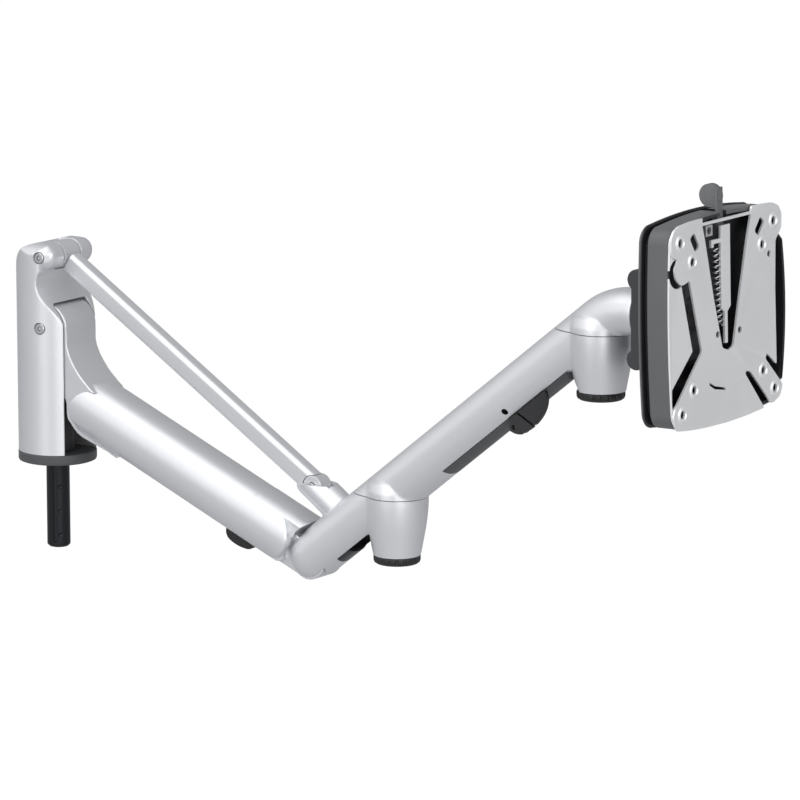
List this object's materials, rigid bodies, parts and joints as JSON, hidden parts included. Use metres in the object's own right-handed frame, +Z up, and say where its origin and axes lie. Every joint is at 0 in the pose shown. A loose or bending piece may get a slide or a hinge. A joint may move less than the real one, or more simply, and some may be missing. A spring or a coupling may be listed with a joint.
{
  "type": "screen support arm",
  "caption": "Two-section screen support arm on a plug-in spigot: slotted swivel column, levelling link rod, swivelling upper arm and a tilting, turning head with a lift-off screen plate.",
  "frame": {"origin": "on the column's swivel axis, at the underside of the base ring where the spigot leaves it", "axes": "+Z up along the swivel axis, +X along the folded-out arm towards the screen plate, +Y across the arm to the side of the pivot nuts"},
  "size_m": [0.5355, 0.1246, 0.2809],
  "materials": {
    "black_steel": "satin black oxide on turned steel",
    "dark_plastic": "fine matt grain, dark grey moulded plastic",
    "silver_casting": "satin silver powder coat on die-cast aluminium",
    "black_plastic": "matt black moulded plastic",
    "bright_steel": "bright zinc-plated steel",
    "silver_plastic": "satin silver paint on moulded plastic",
    "white_nylon": "natural nylon",
    "dark_casting": "dark grey satin paint on cast aluminium",
    "zinc_steel": "bright zinc-plated sheet steel",
    "dark_steel": "dark grey coated sheet steel"
  },
  "bodies": {
    "base": {"spigot_pin": "black_steel", "base_ring": "dark_plastic"},
    "column": {"column_shell": "silver_casting", "column_bush": "black_plastic", "pivot_bolt_a": "bright_steel", "pivot_nut_a": "bright_steel", "pivot_bolt_b": "bright_steel", "pivot_nut_b": "bright_steel"},
    "lower_arm": {"lower_arm_casting": "silver_casting", "arm_cover_near": "silver_plastic", "arm_cover_far": "silver_plastic", "pivot_sleeve_b": "white_nylon", "gas_strut_body": "black_steel", "gas_strut_rod": "bright_steel", "strut_pin": "bright_steel", "lower_cable_clip": "black_plastic"},
    "link_rod": {"link_bar": "silver_casting", "link_eye_a": "silver_casting", "link_eye_c": "silver_casting"},
    "elbow": {"elbow_casting": "silver_casting", "elbow_pin": "bright_steel", "clevis_pin": "bright_steel", "elbow_bush": "white_nylon", "elbow_ring": "black_plastic"},
    "upper_arm": {"upper_arm_casting": "silver_casting", "elbow_shaft": "bright_steel", "cable_cover": "dark_plastic", "clip_seat": "black_plastic", "clip_pin": "bright_steel", "wrist_bush": "white_nylon", "wrist_ring": "black_plastic"},
    "cable_gate": {"clip_gate": "black_plastic"},
    "wrist": {"wrist_head": "silver_casting", "wrist_shaft": "bright_steel", "tilt_bracket": "dark_casting", "bracket_screw_near": "bright_steel", "bracket_screw_far": "bright_steel", "tilt_pin": "bright_steel"},
    "tilt_block": {"tilt_knuckle": "dark_casting", "roll_washer": "white_nylon", "roll_spindle": "bright_steel"},
    "head": {"housing_back": "dark_plastic", "housing_shell": "dark_plastic", "fixed_plate": "zinc_steel", "latch_spring": "bright_steel", "square_nut": "zinc_steel", "latch_screw": "black_steel"},
    "latch": {"release_lever": "dark_steel"},
    "screen_plate": {"vesa_plate": "zinc_steel"}
  },
  "joints": [
    {"name": "column_swivel", "type": "hinge", "parent": "base", "child": "column", "pos_m": [0, 0, 0], "axis": [0, 0, 1], "range_deg": [-180, 180]},
    {"name": "lift", "type": "hinge", "parent": "column", "child": "lower_arm", "pos_m": [0.0062, 0, 0.089], "axis": [0, -1, 0], "range_deg": [-2.5, 70]},
    {"name": "link_rod_turn", "type": "hinge", "parent": "column", "child": "link_rod", "pos_m": [0.0062, 0, 0.1345], "axis": [0, -1, 0], "range_deg": [-2.5, 70]},
    {"name": "elbow_level", "type": "hinge", "parent": "lower_arm", "child": "elbow", "pos_m": [0.2085, 0, -0.0366], "axis": [0, -1, 0], "range_deg": [-70, 2.5]},
    {"name": "elbow_swivel", "type": "hinge", "parent": "elbow", "child": "upper_arm", "pos_m": [0.2697, 0, 0.011], "axis": [0, 0, 1], "range_deg": [-110, 110]},
    {"name": "cable_gate_hinge", "type": "hinge", "parent": "upper_arm", "child": "cable_gate", "pos_m": [0.36435, 0, 0.06681], "axis": [0, 1, 0], "range_deg": [0, 60]},
    {"name": "wrist_swivel", "type": "hinge", "parent": "upper_arm", "child": "wrist", "pos_m": [0.4193, 0, 0.13], "axis": [0, 0, 1], "range_deg": [-95, 95]},
    {"name": "head_tilt", "type": "hinge", "parent": "wrist", "child": "tilt_block", "pos_m": [0.4645, 0, 0.147], "axis": [0, 1, 0], "range_deg": [-30, 20]},
    {"name": "head_roll", "type": "hinge", "parent": "tilt_block", "child": "head", "pos_m": [0.48, 0, 0.14733], "axis": [0.9996, 0, 0.0279], "range_deg": [-90, 90]},
    {"name": "latch_pull", "type": "slide", "parent": "head", "child": "latch", "axis": [-0.0279, 0, 0.9996], "range_m": [0, 0.005], "stiffness_N_per_m": 600, "springref_m": -0.005, "deforming": ["latch_spring"]},
    {"name": "plate_lift_off", "type": "slide", "parent": "head", "child": "screen_plate", "axis": [-0.0279, 0, 0.9996], "range_m": [0, 0.014]}
  ],
  "couplings": [
    {"joint": "link_rod_turn", "follows": "lift", "ratio": 1},
    {"joint": "elbow_level", "follows": "lift", "ratio": -1}
  ]
}
